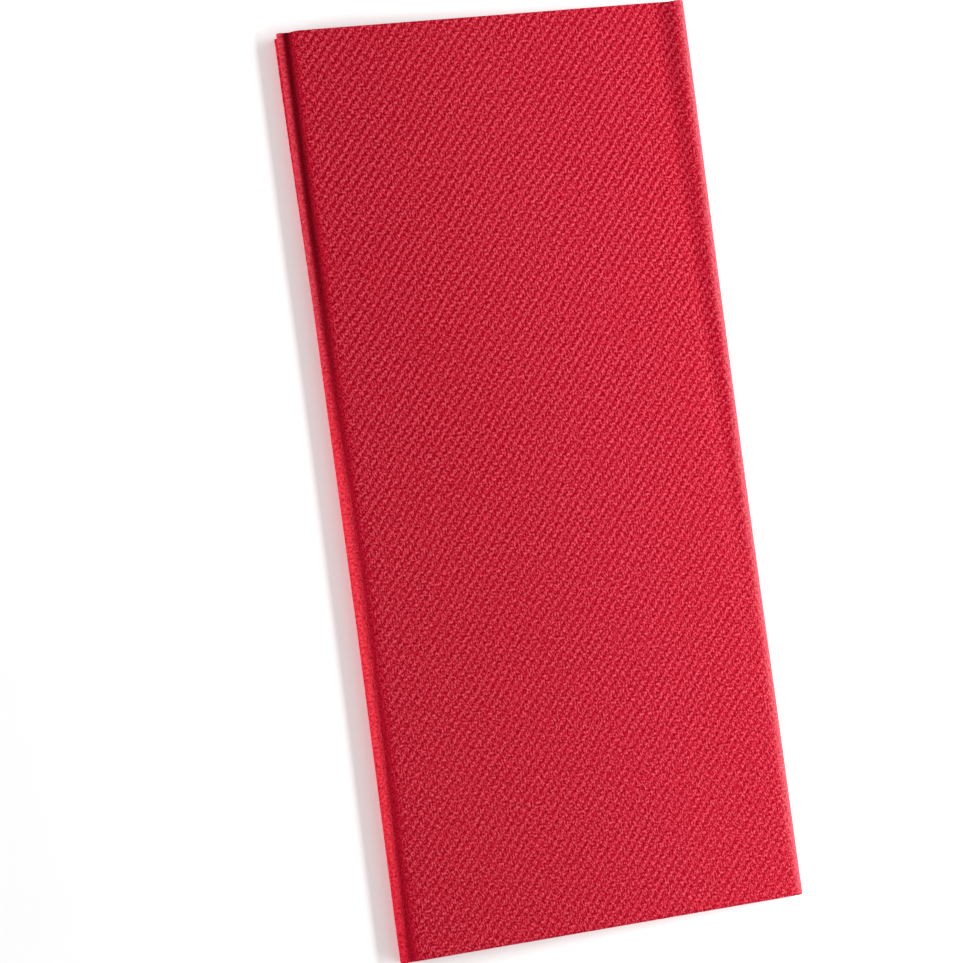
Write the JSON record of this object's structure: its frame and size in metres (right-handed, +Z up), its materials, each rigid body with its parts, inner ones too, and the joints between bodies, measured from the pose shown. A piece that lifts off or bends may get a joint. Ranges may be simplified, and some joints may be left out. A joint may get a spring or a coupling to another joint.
{
  "type": "paper napkin",
  "caption": "Red linen-feel paper napkin, a square sheet folded to a long rectangle and lying flat, with a fat fold along one side and the spine along the other.",
  "frame": {"origin": "centre of the folded napkin's box, on the surface under it", "axes": "+X across the napkin to its spine, +Y along it to its cut end, +Z up out of its front face"},
  "size_m": [0.108, 0.216, 0.0048],
  "materials": {
    "napkin_paper": "matt red airlaid paper, embossed all over with a fine grain like linen"
  },
  "bodies": {
    "root": {"napkin": "napkin_paper"}
  },
  "joints": []
}
